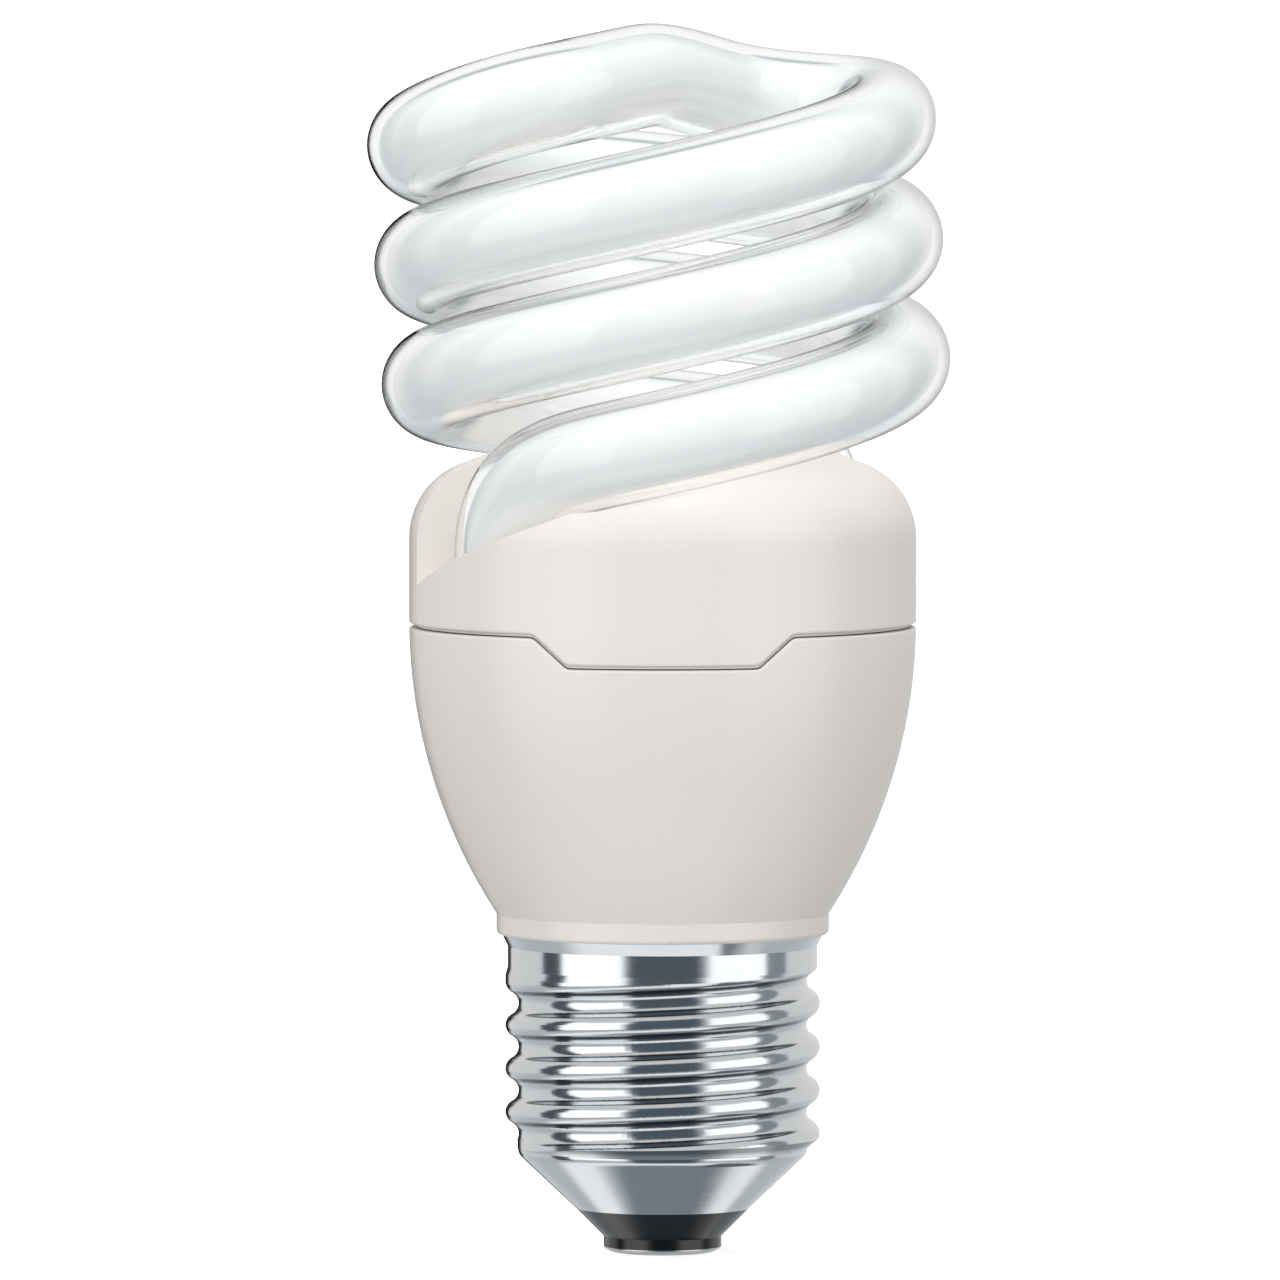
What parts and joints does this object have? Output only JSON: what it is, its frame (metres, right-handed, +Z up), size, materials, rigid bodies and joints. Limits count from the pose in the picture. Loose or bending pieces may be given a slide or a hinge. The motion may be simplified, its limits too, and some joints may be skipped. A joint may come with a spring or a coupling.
{
  "type": "compact fluorescent lamp",
  "caption": "Spiral energy saving lamp: white double-helix glass tube on a pale plastic ballast housing with a notched parting line and an E27 screw cap.",
  "frame": {"origin": "centre of the centre contact's flat face, on the cap's axis", "axes": "+Z up the cap's axis from the contact to the coil; -Y is the front, with the notch in the parting line"},
  "size_m": [0.0485, 0.0474, 0.1024],
  "materials": {
    "spiral_glass": "gloss",
    "housing_plastic": "satin",
    "cap_metal": "polished",
    "cap_glass": "gloss",
    "contact_metal": "satin",
    "cement": "matt",
    "wire": "satin",
    "board": "matt",
    "ferrite": "matt",
    "bobbin_plastic": "satin",
    "copper_wire": "gloss",
    "capacitor_sleeve": "gloss",
    "film_case": "gloss",
    "moulded_black": "matt",
    "resistor_coat": "matt",
    "thermistor_coat": "matt"
  },
  "bodies": {
    "root": {"glass_spiral": "spiral_glass", "upper_cover": "housing_plastic", "lower_housing": "housing_plastic", "screw_shell": "cap_metal", "cap_insulator": "cap_glass", "centre_contact": "contact_metal", "tube_cement_front": "cement", "tube_cement_rear": "cement", "lead_in_wires_front": "wire", "lead_in_wires_rear": "wire", "shell_lead": "wire", "circuit_board": "board", "choke_core": "ferrite", "choke_bobbin": "bobbin_plastic", "choke_winding": "copper_wire", "toroid_core": "ferrite", "toroid_windings": "copper_wire", "smoothing_capacitor": "capacitor_sleeve", "resonant_capacitor": "film_case", "blocking_capacitor": "film_case", "transistor_high": "moulded_black", "transistor_low": "moulded_black", "start_thermistor": "thermistor_coat", "fuse_resistor": "resistor_coat", "rectifier_diode_1": "moulded_black", "rectifier_diode_2": "moulded_black", "rectifier_diode_3": "moulded_black", "rectifier_diode_4": "moulded_black", "resistor_1": "resistor_coat", "resistor_2": "resistor_coat", "resistor_3": "resistor_coat"}
  },
  "joints": []
}
